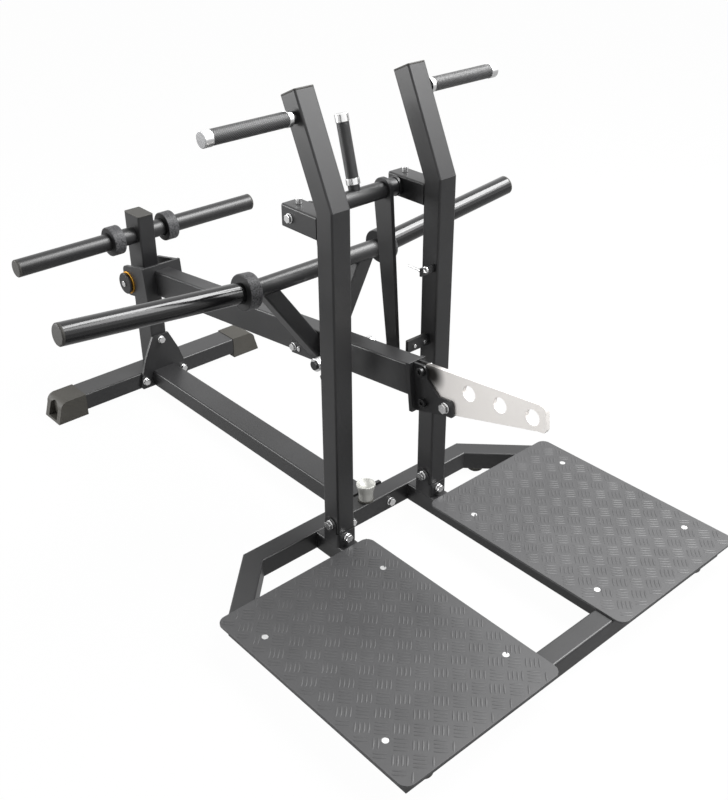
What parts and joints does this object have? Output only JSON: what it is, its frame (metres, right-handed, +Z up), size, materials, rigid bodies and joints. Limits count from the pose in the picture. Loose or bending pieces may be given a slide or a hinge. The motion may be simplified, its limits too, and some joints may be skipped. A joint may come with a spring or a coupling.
{
  "type": "belt squat machine",
  "caption": "Plate-loaded belt squat machine with a pivoting lever, load and storage horns, swinging catch hooks with a release handle, hand grips and tread plates.",
  "frame": {"origin": "middle of the bounding box's footprint, on the floor", "axes": "+X to the right seen from the foot plates, +Y from the foot plates towards the rear post, +Z up"},
  "size_m": [1.3074, 1.7194, 1.1074],
  "materials": {
    "frame_paint": "matte charcoal powder coat",
    "plate_paint": "matte grey powder coat over raised tread",
    "horn_paint": "glossy black",
    "collar_paint": "hammered dark grey",
    "chrome": "polished",
    "screw": "zinc plated",
    "stainless": "fine brushed",
    "bush": "satin",
    "black_steel": "black oxide, satin",
    "grip": "knurled, satin black",
    "rubber": "matte moulded",
    "cap": "moulded, fine grain"
  },
  "bodies": {
    "frame": {"cross_tube": "frame_paint", "corner_tubes": "frame_paint", "side_rails": "frame_paint", "front_rail": "frame_paint", "inner_rails": "frame_paint", "foot_plate_left": "plate_paint", "foot_plate_right": "plate_paint", "plate_screws": "screw", "dome_feet": "rubber", "beam_flanges": "frame_paint", "centre_beam": "frame_paint", "rear_foot_tube": "frame_paint", "rear_blocks": "rubber", "rear_post": "frame_paint", "tube_caps": "cap", "storage_necks": "frame_paint", "storage_horns": "horn_paint", "storage_collars": "collar_paint", "storage_caps": "cap", "uprights": "frame_paint", "upright_heads": "frame_paint", "upright_sockets": "frame_paint", "handle_bars": "frame_paint", "handle_grips": "grip", "handle_ends": "chrome", "lock_brackets": "frame_paint", "lock_shaft": "chrome", "lock_washers": "black_steel", "bracket_studs": "chrome", "stop_plates": "frame_paint", "eye_bolt": "chrome", "stop_pad": "rubber", "bumper_base": "rubber", "bumper_cup": "chrome", "frame_bolts": "chrome", "pivot_shaft": "frame_paint", "pivot_caps": "black_steel"},
    "lever": {"fork_web": "frame_paint", "fork_ears": "frame_paint", "pivot_bushes": "bush", "lever_beam": "frame_paint", "v_arms": "frame_paint", "v_pads": "frame_paint", "load_bar": "frame_paint", "load_horns": "horn_paint", "load_collars": "collar_paint", "load_caps": "cap", "catch_pin": "black_steel", "catch_sleeves": "chrome", "front_flange": "frame_paint", "cheek_plates": "frame_paint", "belt_tongue": "stainless", "cheek_screws": "black_steel", "lever_bolts": "chrome"},
    "lock": {"lock_tube": "frame_paint", "prop_arms": "frame_paint", "release_stem": "frame_paint", "release_grip": "grip", "release_collars": "chrome"}
  },
  "joints": [
    {"name": "lever_pivot", "type": "hinge", "parent": "frame", "child": "lever", "pos_m": [0, 0.81625, 0.3475], "axis": [1, 0, 0], "range_deg": [-15, 18]},
    {"name": "lock_shaft", "type": "hinge", "parent": "frame", "child": "lock", "pos_m": [0, -0.11975, 0.8385], "axis": [1, 0, 0], "range_deg": [-8, 3.5]}
  ]
}
